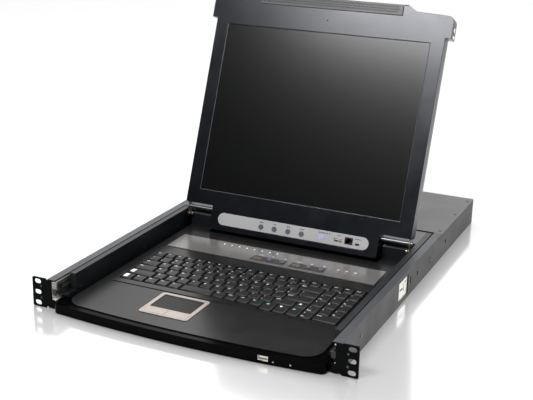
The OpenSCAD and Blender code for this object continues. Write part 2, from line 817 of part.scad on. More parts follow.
module display_bezel() {
    color("#2b3036") on_display() difference() {
        intersection() {
            facing_front(0, bezel_depth) polygon(housing_outline(0));
            facing_side(-210, 210) housing_side();
        }
        facing_front(shell, 10) polygon(housing_outline(shell));
        block([-screen_x, screen_x], [-5, 10], [0, screen_h]);
        facing_front(-5, 10) strip_outline(0);
        block([-grille_x, grille_x], [-5, 10], [grille_s[0], 340]);
    }
}

module display_back_cover() {
    color("#3b4046") on_display() difference() {
        intersection() {
            facing_front(bezel_depth, housing_t) polygon(housing_outline(0));
            facing_side(-210, 210) housing_side();
        }
        facing_front(bezel_depth - 1, housing_t - shell) intersection() {
            polygon(housing_outline(shell));
            translate([-220, -70]) square([440, 388]);
        }
    }
}

module lcd_panel() {
    color("#101112") on_display() block([-181, 181], [shell, 11], [-5, 284]);
}

module display_board() {
    color("#1f5a3a") on_display() {
        block([-132, 132], [15, 16.6], [-56, -12]);
        block([-20, 10], [13, 15], [-48, -24]);
        for (x = [-100, -70, 30]) block([x, x + 14], [12, 15], [-40, -26]);
        for (x = [-138, 124], s = [-52, -20])
            translate([x + 7, 0, s]) bar_y_axis(16.6, housing_t - shell, 2.5, 0, 0);
    }
}

module control_strip() {
    color("#c5c6c8") on_display() difference() {
        facing_front(-strip_proud, shell) strip_outline(-0.1);
        for (x = menu_xs) bar_y_axis(-5, 5, round_button_r + button_clear, x, menu_s);
        bar_y_axis(-5, 5, round_button_r + button_clear, power_button_at[0], power_button_at[1]);
        block([display_usb_at[0] - 7.3, display_usb_at[0] + 7.3], [-5, 5],
            [display_usb_at[1] - 3.6, display_usb_at[1] + 3.6]);
        block([jack_x[0] - 0.2, jack_x[1] + 0.2], [-5, 5], [jack_s[0] - 0.2, jack_s[1] + 0.2]);
        block([switch_at[0] - 3.5, switch_at[0] + 3.5], [-5, 5], [switch_at[1] - 1.6, switch_at[1] + 1.6]);
    }
}

module handle_grille() {
    color("#8b8d90") on_display() {
        block([-grille_x + 0.8, grille_x - 0.8], [0.4, 2.4], [grille_s[0] + 0.8, grille_s[1]]);
        block([-grille_x - 4, grille_x + 4], [2.4, 4], [grille_s[0] - 3, 329.5]);
    }
}

module hinge_arms() {
    run_n = pivot_depth - tube_at[0];
    run_s = -pivot_drop - tube_at[1];
    arm_l = sqrt(run_n * run_n + run_s * run_s);
    arm_angle = atan2(run_s, run_n);
    arm_r = 4.2;
    color("#b5b7b8") on_display() both_sides() {
        bar_x_axis(tongue_x, arm_x[0], tube_r, tube_at[0], tube_at[1]);
        bar_x_axis(arm_x[1], tube_end_x, tube_r, tube_at[0], tube_at[1]);
        difference() {
            union() {
                bar_x_axis(arm_x[0], arm_x[1], arm_r, pivot_depth, -pivot_drop);
                facing_side(arm_x[0], arm_x[1]) {
                    translate(tube_at) rotate(arm_angle) translate([0, -arm_r]) square([arm_l, 2 * arm_r]);
                    translate([tube_at[0] - arm_r, tube_at[1] - 2])
                        square([2 * arm_r, housing_low - tube_at[1] + 2]);
                }
            }
            bar_x_axis(180, 195, pin_r + 0.05, pivot_depth, -pivot_drop);
        }
    }
}

module display_ports() {
    color("#17181a") on_display() {
        usb_place(display_usb_at) usb_socket(-0.3, 14);
        difference() {
            block(jack_x, [-0.3, 13], jack_s);
            block([jack_x[0] + 1.4, jack_x[1] - 1.4], [-1, 11.5], [jack_s[0] + 1.2, jack_s[1] - 3]);
            block([jack_x[0] + 4, jack_x[1] - 4], [-1, 11.5], [jack_s[0] + 1.2, jack_s[1] - 1.2]);
        }
        block([switch_at[0] - 5, switch_at[0] + 5], [shell + 0.2, shell + 5],
            [switch_at[1] - 3, switch_at[1] + 3]);
    }
}

module service_switch() {
    color("#101112") on_display()
        block([switch_at[0] - 3.2, switch_at[0] - 0.6], [-1, shell + 0.1], [switch_at[1] - 1.3, switch_at[1] + 1.3]);
}

// Spring lugs on the ends of the top bar that hold the closed display down
module display_catches() {
    color("#c8c4a8") on_display() both_sides() {
        block([bar_x, bar_x + 0.7], [5, 15], [287, 291]);
        block([bar_x, bar_x + 0.7], [6, 12], [297, 303]);
    }
}

module round_button(at) {
    color("#7d8794") on_display() bar_y_axis(-1.2, shell, round_button_r, at[0], at[1]);
}
module menu_exit_button() { round_button([menu_xs[0], menu_s]); }
module menu_down_button() { round_button([menu_xs[1], menu_s]); }
module menu_up_button() { round_button([menu_xs[2], menu_s]); }
module menu_button() { round_button([menu_xs[3], menu_s]); }
module display_power_button() { round_button(power_button_at); }

bottom_pan();
left_side_wall();
right_side_wall();
rear_top_cover();
rear_panel();
rack_ears();
slide_outer_members();
switch_board();
power_supply();
computer_ports();
console_ports();
power_inlet();
chassis_screws();
power_rocker();
slide_middle_members();
drawer_side_walls();
drawer_base();
rear_deck();
hinge_boxes();
hinge_pins();
slide_inner_members();
palm_rest_deck();
front_fascia();
keyboard_frame();
keyboard_board();
port_panel();
status_lights();
touchpad_frame();
touchpad_surface();
front_usb_port();
left_drawer_catch();
right_drawer_catch();
function_key_row();
number_key_row();
upper_key_row();
home_key_row();
lower_key_row();
bottom_key_row();
number_pad_keys();
touchpad_left_button();
touchpad_right_button();
station_up_button();
station_down_button();
port_up_button();
port_down_button();
display_bezel();
display_back_cover();
lcd_panel();
display_board();
control_strip();
handle_grille();
hinge_arms();
display_ports();
display_catches();
service_switch();
menu_exit_button();
menu_down_button();
menu_up_button();
menu_button();
display_power_button();
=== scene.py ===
"""Looks of the rack-mounted KVM console drawer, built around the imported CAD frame.

The axes are the frame's own: +X to the operator's right, +Y to the rear, +Z up. Sizes
and places are in mm, and those of the camera, the lights and the floor in metres. CAD
nodes keep their shape and get an edge bevel and a material; the key caps, the handle
grille, screws, legends and other small details are made here and ride on the CAD bodies.
"""
import json
import math

import bmesh
import bpy
from mathutils import Matrix, Vector


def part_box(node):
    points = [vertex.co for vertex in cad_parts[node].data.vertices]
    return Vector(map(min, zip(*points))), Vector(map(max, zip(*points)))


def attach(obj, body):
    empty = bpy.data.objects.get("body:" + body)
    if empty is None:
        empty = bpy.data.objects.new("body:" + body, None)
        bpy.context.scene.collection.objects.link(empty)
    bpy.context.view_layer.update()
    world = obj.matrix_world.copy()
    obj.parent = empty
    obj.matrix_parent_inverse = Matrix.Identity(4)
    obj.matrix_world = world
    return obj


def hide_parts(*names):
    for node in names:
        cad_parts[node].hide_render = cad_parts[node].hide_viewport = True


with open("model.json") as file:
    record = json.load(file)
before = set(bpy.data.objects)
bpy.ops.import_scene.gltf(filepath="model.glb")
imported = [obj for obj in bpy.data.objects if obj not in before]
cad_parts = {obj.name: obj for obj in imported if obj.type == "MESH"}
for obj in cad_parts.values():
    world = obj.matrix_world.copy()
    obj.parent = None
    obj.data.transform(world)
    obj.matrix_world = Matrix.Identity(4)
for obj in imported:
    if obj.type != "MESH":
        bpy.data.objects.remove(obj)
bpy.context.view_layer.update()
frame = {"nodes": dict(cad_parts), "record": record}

MM = 0.001
NODES = frame["nodes"]
JOINTS = {joint["name"]: joint for joint in frame["record"]["behaviour"]["joints"]}


# ---------------------------------------------------------------- node helpers

def new_material(name):
    """An empty node material with its shader and the object's own coordinates."""
    mat = bpy.data.materials.new(name)
    mat.use_nodes = True
    shader = mat.node_tree.nodes["Principled BSDF"]
    coords = mat.node_tree.nodes.new("ShaderNodeTexCoord")
    return mat, shader, coords.outputs["Object"]


def noise(mat, coords, scale, detail=2.0, rough=0.5, distortion=0.0, stretch=None):
    """A noise value between 0 and 1. stretch scales the coordinates first."""
    tree = mat.node_tree
    if stretch:
        mapping = tree.nodes.new("ShaderNodeMapping")
        mapping.inputs["Scale"].default_value = stretch
        tree.links.new(coords, mapping.inputs["Vector"])
        coords = mapping.outputs["Vector"]
    tex = tree.nodes.new("ShaderNodeTexNoise")
    tex.inputs["Scale"].default_value = scale
    tex.inputs["Detail"].default_value = detail
    tex.inputs["Roughness"].default_value = rough
    tex.inputs["Distortion"].default_value = distortion
    tree.links.new(coords, tex.inputs["Vector"])
    return tex.outputs["Fac"]


def ramp(mat, value, stops):
    """A colour ramp over a value: stops are (position, colour) pairs."""
    node = mat.node_tree.nodes.new("ShaderNodeValToRGB")
    elements = node.color_ramp.elements
    while len(elements) < len(stops):
        elements.new(0.5)
    for element, (position, colour) in zip(elements, stops):
        element.position = position
        element.color = (*colour, 1.0)
    mat.node_tree.links.new(value, node.inputs["Fac"])
    return node.outputs["Color"]


def spread(mat, value, low, high):
    """Maps a noise value's middle range onto low to high."""
    node = mat.node_tree.nodes.new("ShaderNodeMapRange")
    node.inputs["From Min"].default_value = 0.3
    node.inputs["From Max"].default_value = 0.7
    node.inputs["To Min"].default_value = low
    node.inputs["To Max"].default_value = high
    mat.node_tree.links.new(value, node.inputs["Value"])
    return node.outputs["Result"]


def add_bump(mat, shader, heights):
    """Chains bump nodes: heights are (value, strength, distance in metres)."""
    previous = None
    for value, strength, distance in heights:
        bump = mat.node_tree.nodes.new("ShaderNodeBump")
        bump.inputs["Strength"].default_value = strength
        bump.inputs["Distance"].default_value = distance
        mat.node_tree.links.new(value, bump.inputs["Height"])
        if previous:
            mat.node_tree.links.new(previous, bump.inputs["Normal"])
        previous = bump.outputs["Normal"]
    mat.node_tree.links.new(previous, shader.inputs["Normal"])


def shade(colour, factor):
    """The colour made lighter or darker."""
    return tuple(channel * factor for channel in colour)


def worn_colour(mat, coords, colour, cloud_scale, depth):
    """A base colour that drifts slightly over the surface."""
    cloud = noise(mat, coords, cloud_scale, detail=4.0, rough=0.6)
    return ramp(mat, cloud, [(0.3, shade(colour, 1 - depth)), (0.7, shade(colour, 1 + depth))])


# ---------------------------------------------------------------- materials

def textured_plastic(name, colour, roughness, grain=1500.0, bump=0.05, specular=0.5, depth=0.06,
                     tint=(1.0, 1.0, 1.0)):
    """Moulded plastic with a spark-eroded grain."""
    mat, shader, coords = new_material(name)
    links = mat.node_tree.links
    links.new(worn_colour(mat, coords, colour, 14.0, depth), shader.inputs["Base Color"])
    smudge = noise(mat, coords, 22.0, detail=5.0, rough=0.6)
    links.new(spread(mat, smudge, roughness - 0.03, roughness + 0.03), shader.inputs["Roughness"])
    shader.inputs["Specular IOR Level"].default_value = specular
    shader.inputs["Specular Tint"].default_value = (*tint, 1.0)
    add_bump(mat, shader, [(noise(mat, coords, grain, detail=1.5), bump, 0.00008),
                           (noise(mat, coords, 35.0), 0.02, 0.0003)])
    return mat


def powder_coat(name, colour, roughness=0.5, grain=900.0, specular=0.5, depth=0.08):
    """Powder-coated steel: an orange-peel surface with a few dust specks."""
    mat, shader, coords = new_material(name)
    links = mat.node_tree.links
    base = worn_colour(mat, coords, colour, 9.0, depth)
    specks = noise(mat, coords, 1400.0, detail=2.0, rough=0.7)
    mask = ramp(mat, specks, [(0.66, (0, 0, 0)), (0.74, (1, 1, 1))])
    mix = mat.node_tree.nodes.new("ShaderNodeMix")
    mix.data_type = "RGBA"
    mix.inputs["B"].default_value = (*shade(colour, 1.35), 1.0)
    links.new(mask, mix.inputs["Factor"])
    links.new(base, mix.inputs["A"])
    links.new(mix.outputs["Result"], shader.inputs["Base Color"])
    shader.inputs["Specular IOR Level"].default_value = specular
    smudge = noise(mat, coords, 16.0, detail=5.0, rough=0.6)
    links.new(spread(mat, smudge, roughness - 0.06, roughness + 0.07), shader.inputs["Roughness"])
    add_bump(mat, shader, [(noise(mat, coords, grain, detail=2.0), 0.16, 0.00012),
                           (noise(mat, coords, 6.0), 0.02, 0.001)])
    return mat


def brushed_metal(name, colour, roughness=0.3, stretch=(12.0, 0.6, 12.0), depth=0.12, metallic=1.0):
    """Rolled or brushed metal, its grain along one axis."""
    mat, shader, coords = new_material(name)
    links = mat.node_tree.links
    streaks = noise(mat, coords, 160.0, detail=4.0, rough=0.65, stretch=stretch)
    links.new(ramp(mat, streaks, [(0.3, shade(colour, 1 - depth)), (0.7, shade(colour, 1 + depth))]),
              shader.inputs["Base Color"])
    shader.inputs["Metallic"].default_value = metallic
    cloud = noise(mat, coords, 30.0, detail=4.0)
    links.new(spread(mat, cloud, roughness - 0.07, roughness + 0.1), shader.inputs["Roughness"])
    add_bump(mat, shader, [(streaks, 0.08, 0.0001)])
    return mat


def metallic_paint(name, colour, roughness=0.38, metallic=0.55, flake=2600.0):
    """Silver paint with a fine metallic flake."""
    mat, shader, coords = new_material(name)
    links = mat.node_tree.links
    flakes = noise(mat, coords, flake, detail=1.0)
    cloud = worn_colour(mat, coords, colour, 8.0, 0.05)
    mix = mat.node_tree.nodes.new("ShaderNodeMix")
    mix.data_type = "RGBA"
    mix.inputs["B"].default_value = (*shade(colour, 1.25), 1.0)
    links.new(ramp(mat, flakes, [(0.5, (0, 0, 0)), (0.75, (1, 1, 1))]), mix.inputs["Factor"])
    links.new(cloud, mix.inputs["A"])
    links.new(mix.outputs["Result"], shader.inputs["Base Color"])
    shader.inputs["Metallic"].default_value = metallic
    smudge = noise(mat, coords, 25.0, detail=4.0)
    links.new(spread(mat, smudge, roughness - 0.03, roughness + 0.03), shader.inputs["Roughness"])
    shader.inputs["Coat Weight"].default_value = 0.15
    shader.inputs["Coat Roughness"].default_value = 0.2
    add_bump(mat, shader, [(flakes, 0.04, 0.00006)])
    return mat


def gloss_plastic(name, colour, roughness=0.08, specular=0.5, coat=0.5):
    """Polished plastic with faint handling marks."""
    mat, shader, coords = new_material(name)
    links = mat.node_tree.links
    links.new(worn_colour(mat, coords, colour, 20.0, 0.08), shader.inputs["Base Color"])
    haze = noise(mat, coords, 45.0, detail=6.0, rough=0.65, distortion=0.4)
    links.new(spread(mat, haze, roughness, roughness + 0.09), shader.inputs["Roughness"])
    shader.inputs["Specular IOR Level"].default_value = specular
    shader.inputs["Coat Weight"].default_value = coat
    shader.inputs["Coat Roughness"].default_value = 0.04
    add_bump(mat, shader, [(noise(mat, coords, 12.0), 0.03, 0.0006)])
    return mat


def glow(name, colour, strength, base=None):
    """A small lit lens: its colour drifts slightly, and it glows a little."""
    mat, shader, coords = new_material(name)
    grain = noise(mat, coords, 900.0)
    mat.node_tree.links.new(ramp(mat, grain, [(0.3, shade(base or colour, 0.85)), (0.7, base or colour)]),
                            shader.inputs["Base Color"])
    shader.inputs["Roughness"].default_value = 0.25
    shader.inputs["Emission Color"].default_value = (*colour, 1.0)
    shader.inputs["Emission Strength"].default_value = strength
    return mat


def screen_surface():
    """Anti-glare film over a dark panel: black, with a soft and slightly grainy sheen."""
    mat, shader, coords = new_material("screen_film")
    links = mat.node_tree.links
    links.new(worn_colour(mat, coords, (0.002, 0.0023, 0.0022), 3.0, 0.1), shader.inputs["Base Color"])
    haze = noise(mat, coords, 2200.0, detail=1.0)
    links.new(spread(mat, haze, 0.2, 0.22), shader.inputs["Roughness"])
    shader.inputs["Specular IOR Level"].default_value = 0.46
    add_bump(mat, shader, [(haze, 0.05, 0.00003)])
    return mat


MATERIALS = {
    "chassis_paint": powder_coat("chassis_paint", (0.0085, 0.0094, 0.0083), 0.42, specular=0.15,
                                 depth=0.15),
    "cover_paint": powder_coat("cover_paint", (0.072, 0.0725, 0.076), 0.42),
    # Lighter, bluer colour for the side walls' upward faces: painted light from above
    "flange_painted_light": powder_coat("flange_painted_light", (0.036, 0.039, 0.045), 0.42),
    "dark_screw": powder_coat("dark_screw", (0.010, 0.013, 0.012), 0.34),
    "ear_paint": powder_coat("ear_paint", (0.0008, 0.0013, 0.0013), 0.34, specular=0.05),
    "drawer_paint": powder_coat("drawer_paint", (0.006, 0.0075, 0.009), 0.40, specular=0.4),
    "zinc": brushed_metal("zinc", (0.86, 0.86, 0.82), 0.42, metallic=0.15),
    "steel": brushed_metal("steel", (0.5, 0.51, 0.52), 0.3),
    "brass": brushed_metal("brass", (0.62, 0.44, 0.2), 0.28),
    # Zinc darkened as painted shade, for the slide members that the drawer's walls shade
    "zinc_painted_shade": brushed_metal("zinc_painted_shade", (0.10, 0.10, 0.095), 0.4, metallic=0.7),
    "nickel": brushed_metal("nickel", (0.66, 0.63, 0.57), 0.34, metallic=0.5),
    "hinge_steel": brushed_metal("hinge_steel", (0.25, 0.25, 0.26), 0.40),
    "deck_plastic": textured_plastic("deck_plastic", (0.009, 0.009, 0.0095), 0.24, grain=1800.0,
                                     bump=0.02, specular=0.36),
    "fascia_plastic": gloss_plastic("fascia_plastic", (0.0006, 0.0006, 0.0007), 0.12,
                                    specular=0.05, coat=0.0),
    "frame_plastic": textured_plastic("frame_plastic", (0.0045, 0.0045, 0.005), 0.24, grain=2000.0,
                                      bump=0.02, specular=0.42),
    "key_plastic": textured_plastic("key_plastic", (0.0062, 0.0062, 0.0068), 0.36, grain=2200.0,
                                    bump=0.03, specular=0.33),
    "champagne": metallic_paint("champagne", (0.36, 0.315, 0.28), 0.36, metallic=0.5),
    "pad_plastic": textured_plastic("pad_plastic", (0.008, 0.008, 0.009), 0.34, grain=2500.0, specular=0.14),
    "panel_silver": metallic_paint("panel_silver", (0.235, 0.225, 0.22), 0.2),
    "lens": gloss_plastic("lens", (0.085, 0.066, 0.058), 0.14),
    "button_plastic": gloss_plastic("button_plastic", (0.10, 0.11, 0.14), 0.18),
    "housing_plastic": textured_plastic("housing_plastic", (0.0016, 0.0026, 0.004), 0.24,
                                        grain=1300.0, bump=0.03, tint=(0.94, 0.95, 1.0)),
    "screen": screen_surface(),
    "strip_silver": metallic_paint("strip_silver", (0.40, 0.394, 0.398), 0.36, metallic=0.2),
    "trim_grey": metallic_paint("trim_grey", (0.14, 0.145, 0.155), 0.35),
    "grille_grey": textured_plastic("grille_grey", (0.045, 0.0455, 0.048), 0.4),
    "black_plastic": textured_plastic("black_plastic", (0.008, 0.008, 0.009), 0.35),
    "video_blue": textured_plastic("video_blue", (0.02, 0.05, 0.25), 0.35),
    "console_violet": textured_plastic("console_violet", (0.10, 0.055, 0.22), 0.35),
    "board": gloss_plastic("board", (0.012, 0.085, 0.04), 0.3),
}


# ---------------------------------------------------------------- places

# The rack's axes: as the frame's, but their Y starts at the front of the ears
EAR_FACE_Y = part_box("rack_ears")[0].y
RACK = Matrix.Translation((0, EAR_FACE_Y, 0))
# The display's axes: X, depth behind its front face, height above the screen's lower edge
RECLINE = math.radians(20.6)
PIVOT_DEPTH, PIVOT_DROP = 15.3, 42.6
PIVOT = Vector(JOINTS["display_tilt"]["pos_m"])
DISPLAY = (Matrix.Translation((0, PIVOT.y, PIVOT.z)) @ Matrix.Rotation(-RECLINE, 4, "X")
           @ Matrix.Translation((0, -PIVOT_DEPTH * MM, PIVOT_DROP * MM)))
DISPLAY_BACK = 21
FACING_FRONT = Matrix.Rotation(math.radians(90), 4, "X")
FACING_REAR = Matrix.Rotation(math.radians(180), 4, "Z") @ FACING_FRONT


def place(frame_matrix, x, y, z, turn=None):
    """A matrix at x, y, z (mm) of the rack's or the display's axes, turned by turn."""
    here = frame_matrix @ Matrix.Translation(Vector((x, y, z)) * MM)
    return here @ turn if turn else here


def facing_x(side):
    """Turns a plate's +Z towards +X (side 1) or -X (side -1)."""
    return Matrix.Rotation(side * math.radians(90), 4, "Y")


# ---------------------------------------------------------------- mesh helpers

def add_box(bm, low, high, matrix=Matrix.Identity(4), material=0):
    """A block between two corners in mm."""
    size = (Vector(high) - Vector(low)) * MM
    middle = (Vector(high) + Vector(low)) / 2 * MM
    made = bmesh.ops.create_cube(bm, size=1.0, matrix=matrix @ Matrix.Translation(middle)
                                 @ Matrix.Diagonal((*size, 1.0)))
    paint(made["verts"], material)


def add_loft(bm, rings, material=0):
    """A closed solid through rings of the same number of points, ends capped."""
    levels = [[bm.verts.new(point) for point in ring] for ring in rings]
    for lower, upper in zip(levels, levels[1:]):
        for i in range(len(lower)):
            j = (i + 1) % len(lower)
            face = bm.faces.new((lower[i], lower[j], upper[j], upper[i]))
            face.material_index = material
    for cap in (list(reversed(levels[0])), levels[-1]):
        bm.faces.new(cap).material_index = material


def add_turned(bm, profile, matrix, segments=24, material=0):
    """A solid of revolution about Z: the profile is (radius, z) pairs in mm, bottom up."""
    rings = []
    for radius, z in profile:
        ring = [Vector((radius * math.cos(a), radius * math.sin(a), z)) * MM
                for a in (math.tau * i / segments for i in range(segments))]
        rings.append([matrix @ point for point in ring])
    add_loft(bm, rings, material)


def add_prism(bm, outline, z0, z1, matrix, material=0):
    """An extruded outline (mm), counter-clockwise seen from +Z."""
    rings = [[matrix @ (Vector((x, y, z)) * MM) for x, y in outline] for z in (z0, z1)]
    add_loft(bm, rings, material)


def paint(verts, material):
    for face in {face for vert in verts for face in vert.link_faces}:
        face.material_index = material


def circle(x, y, radius, segments=16):
    return [(x + radius * math.cos(math.tau * i / segments),
             y + radius * math.sin(math.tau * i / segments)) for i in range(segments)]


def rectangle(x0, x1, y0, y1):
    return [(x0, y0), (x1, y0), (x1, y1), (x0, y1)]


def add_plate(bm, outlines, z0, z1, matrix, material=0):
    """A flat plate in mm: outlines inside the first one are its holes."""
    curve = bpy.data.curves.new("outline", "CURVE")
    curve.dimensions = "2D"
    curve.fill_mode = "BOTH"
    curve.extrude = (z1 - z0) / 2 * MM
    for outline in outlines:
        spline = curve.splines.new("POLY")
        spline.points.add(len(outline) - 1)
        for point, (x, y) in zip(spline.points, outline):
            point.co = (x * MM, y * MM, 0, 1)
        spline.use_cyclic_u = True
    add_curve(bm, curve, matrix @ Matrix.Translation((0, 0, (z0 + z1) / 2 * MM)), material)


def add_curve(bm, curve, matrix, material=0):
    """Adds what a curve or a text makes, then removes the curve."""
    holder = bpy.data.objects.new("holder", curve)
    bpy.context.scene.collection.objects.link(holder)
    made = bpy.data.meshes.new_from_object(holder.evaluated_get(bpy.context.evaluated_depsgraph_get()))
    made.transform(matrix)
    for polygon in made.polygons:
        polygon.material_index = material
    bm.from_mesh(made)
    bpy.data.objects.remove(holder)
    bpy.data.meshes.remove(made)


def add_text(bm, text, size, matrix, thickness=0.04, align="CENTER"):
    """Raised ink of a few hundredths of a millimetre, its letters size mm high."""
    curve = bpy.data.curves.new("legend", "FONT")
    curve.body = text
    curve.size = size * 1.4 * MM
    curve.extrude = thickness / 2 * MM
    curve.resolution_u = 2
    curve.align_x = align
    curve.align_y = "CENTER"
    add_curve(bm, curve, matrix)


def piece(name, bm, materials, body, bevel=0.0, replaces=(), angle=35):
    """Makes the object, with an edge bevel of that many mm, and lets it ride on a body."""
    bmesh.ops.remove_doubles(bm, verts=bm.verts, dist=1e-7)
    bmesh.ops.recalc_face_normals(bm, faces=bm.faces)
    mesh = bpy.data.meshes.new(name)
    bm.to_mesh(mesh)
    bm.free()
    obj = bpy.data.objects.new(name, mesh)
    bpy.context.scene.collection.objects.link(obj)
    for material in materials:
        mesh.materials.append(material)
    if bevel:
        soften(obj, bevel, angle)
    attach(obj, body)
    if replaces:
        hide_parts(*replaces)
    return obj


def soften(obj, width, angle=35, segments=2):
    """Rounds the edges sharper than angle, and smooths what lies between them."""
    for polygon in obj.data.polygons:
        polygon.use_smooth = True
    bevel = obj.modifiers.new("edges", "BEVEL")
    bevel.width = width * MM
    bevel.segments = segments
    bevel.limit_method = "ANGLE"
    bevel.angle_limit = math.radians(angle)
    bevel.harden_normals = True
    bevel.use_clamp_overlap = True


# ---------------------------------------------------------------- CAD nodes

EDGE_WIDTHS = {
    "display_bezel": 0.7, "display_back_cover": 0.9, "palm_rest_deck": 0.4, "front_fascia": 0.6,
    "keyboard_frame": 0.3, "touchpad_frame": 0.25, "touchpad_left_button": 0.25,
    "touchpad_right_button": 0.25, "port_panel": 0.12, "control_strip": 0.25, "hinge_boxes": 0.5,
    "rear_deck": 0.3, "service_switch": 0.15, "status_lights": 0.1, "lcd_panel": 0.1,
}
# Nodes given a darker material than their slot's: the slide members' darkened zinc is painted shade from the
# drawer's walls; the catches take the dark screw paint
DARKER = {
    "slide_middle_members": "zinc_painted_shade", "slide_inner_members": "zinc_painted_shade",
    "left_drawer_catch": "dark_screw", "right_drawer_catch": "dark_screw",
}


def finish_cad_nodes():
    """Gives each CAD node its slot's material and rounds its edges."""
    for row in frame["record"]["subparts"]:
        obj = NODES[row["node"]]
        obj.data.materials.clear()
        obj.data.materials.append(MATERIALS[DARKER.get(row["node"], row["material_slot"])])
        weld = obj.modifiers.new("weld", "WELD")
        weld.merge_threshold = 1e-5
        flatten = obj.modifiers.new("flat_faces", "DECIMATE")
        flatten.decimate_type = "DISSOLVE"
        flatten.angle_limit = math.radians(0.3)
        soften(obj, EDGE_WIDTHS.get(row["node"], 0.2))
        obj.modifiers.new("face_weight", "WEIGHTED_NORMAL").weight = 100


finish_cad_nodes()


# ---------------------------------------------------------------- studio

# The room's grey level in front of the object and behind it
FRONT_LEVEL, BACK_LEVEL = 0.02, 0.92


def camera():
    """Stands where the reference view was taken from."""
    azimuth, elevation, roll = (math.radians(angle) for angle in (24.3, 18.3, 1.4))
    target = Vector((22.2, -113.25, 138.4)) * MM
    distance = 1524.2 * MM
    back = Vector((math.sin(azimuth) * math.cos(elevation),
                   -math.cos(azimuth) * math.cos(elevation), math.sin(elevation)))
    right = Vector((math.cos(azimuth), math.sin(azimuth), 0))
    up = back.cross(right)
    turned_right = right * math.cos(roll) + up * math.sin(roll)
    turned_up = up * math.cos(roll) - right * math.sin(roll)
    cam = bpy.data.objects.new("camera", bpy.data.cameras.new("camera"))
    bpy.context.scene.collection.objects.link(cam)
    cam.data.sensor_width = 36
    cam.data.lens = 72.24
    cam.data.clip_start = 0.01
    cam.matrix_world = Matrix.Translation(target + back * distance) @ Matrix(
        (turned_right, turned_up, back)).transposed().to_4x4()
    bpy.context.scene.camera = cam


def softbox(name, location, target, width, height, power):
    """A rectangular area light of that many watts aimed at a point, all in metres."""
    light = bpy.data.lights.new(name, "AREA")
    light.shape = "RECTANGLE"
    light.size, light.size_y = width, height
    light.energy = power
    obj = bpy.data.objects.new(name, light)
    bpy.context.scene.collection.objects.link(obj)
    obj.location = location
    aim = Vector(target) - Vector(location)
    obj.rotation_mode = "QUATERNION"
    obj.rotation_quaternion = aim.to_track_quat("-Z", "Y")


def floor_material():
    """A pale, slightly glossy sheet with a very faint tone drift."""
    mat, shader, coords = new_material("pale_floor")
    links = mat.node_tree.links
    links.new(worn_colour(mat, coords, (0.93, 0.93, 0.93), 1.2, 0.01), shader.inputs["Base Color"])
    links.new(spread(mat, noise(mat, coords, 3.0), 0.12, 0.15), shader.inputs["Roughness"])
    shader.inputs["IOR"].default_value = 2.0
    shader.inputs["Metallic"].default_value = 0.55
    return mat


def add_floor():
    """A pale sheet, far wider than the object."""
    bm = bmesh.new()
    bmesh.ops.create_grid(bm, x_segments=4, y_segments=4, size=12.0)
    mesh = bpy.data.meshes.new("floor")
    bm.to_mesh(mesh)
    bm.free()
    floor = bpy.data.objects.new("floor", mesh)
    bpy.context.scene.collection.objects.link(floor)
    mesh.materials.append(floor_material())


def add_room():
    """A room that is dark in front of the object and overhead, and white behind it."""
    world = bpy.data.worlds.new("studio")
    world.use_nodes = True
    bpy.context.scene.world = world
    tree = world.node_tree
    background = tree.nodes["Background"]
    coords = tree.nodes.new("ShaderNodeTexCoord")
    split = tree.nodes.new("ShaderNodeSeparateXYZ")
    tree.links.new(coords.outputs["Generated"], split.inputs["Vector"])
    rows = tree.nodes.new("ShaderNodeValToRGB")
    for element, (position, level) in zip(rows.color_ramp.elements,
                                          [(0.25, FRONT_LEVEL), (0.75, BACK_LEVEL)]):
        element.position = position
        element.color = (level, level, level, 1)
    shift = tree.nodes.new("ShaderNodeMapRange")
    shift.inputs["From Min"].default_value = -1
    tree.links.new(split.outputs["Y"], shift.inputs["Value"])
    tree.links.new(shift.outputs["Result"], rows.inputs["Fac"])
    tree.links.new(rows.outputs["Color"], background.inputs["Color"])
    background.inputs["Strength"].default_value = 1.0


def studio():
    """A pale floor, a room and a few soft lights, shown without a tone curve."""
    add_floor()
    add_room()
    softbox("front_key", (-0.21, -1.63, 1.71), (0.12, 0.12, 0.32), 1.4, 0.5, 54)
    softbox("top_fill", (0, 2.7, 3.5), (0, 2.7, 0), 7.0, 7.0, 250)
    softbox("right_fill", (2.0, 2.2, 0.8), (0.22, 0.3, 0.04), 1.0, 1.0, 12)
    softbox("left_fill", (-2.2, 0.6, 1.2), (0, 0, 0.1), 1.0, 1.0, 5)

    bpy.context.scene.view_settings.view_transform = "Standard"
    bpy.context.scene.view_settings.look = "None"


camera()
studio()


# ---------------------------------------------------------------- keys

INK = textured_plastic("white_ink", (0.78, 0.78, 0.76), 0.5, grain=3000.0, bump=0.02)
CYAN_INK = textured_plastic("cyan_ink", (0.16, 0.42, 0.46), 0.5, grain=3000.0, bump=0.02)
DARK_INK = textured_plastic("dark_ink", (0.03, 0.03, 0.035), 0.5, grain=3000.0, bump=0.02)
# How deep a cap's top is dished, and how thick its ink stands, in mm
KEY_DISH = 0.25
KEY_INK = 0.12

ARROWS = {"up": 90, "left": 180, "down": 270, "right": 0}
DIGITS = list(zip("~!@#$%^&*()_+", "`1234567890-="))
LEGENDS = {
    "function_key_row": ["Esc"] + [f"F{i}" for i in range(1, 13)]
                        + ["Prt", "Scr", "Brk", "Ins", "Del", "Hm", "End"],
    "number_key_row": DIGITS + ["Back"],
    "upper_key_row": ["Tab", *"QWERTYUIOP", ("{", "["), ("}", "]"), ("|", "\\")],
    "home_key_row": ["Caps", *"ASDFGHJKL", (":", ";"), ('"', "'"), "Enter"],
    "lower_key_row": ["block", *"ZXCVBNM", ("<", ","), (">", "."), ("?", "/"), "Shift", "up"],
    "bottom_key_row": ["block", "Fn", "Alt", "Ctl", "Ins", "", "Alt", "Mnu", "Ctl", "Pg",
                       "left", "down", "right"],
    "number_pad_keys": [("0", "Ins"), "Enter", ("1", "End"), ("2", ""), ("3", "Pg"), ("4", ""),
                        "5", ("6", ""), ("7", "Hm"), ("8", ""), ("9", "Pg"), "/", "*", "-"],
}


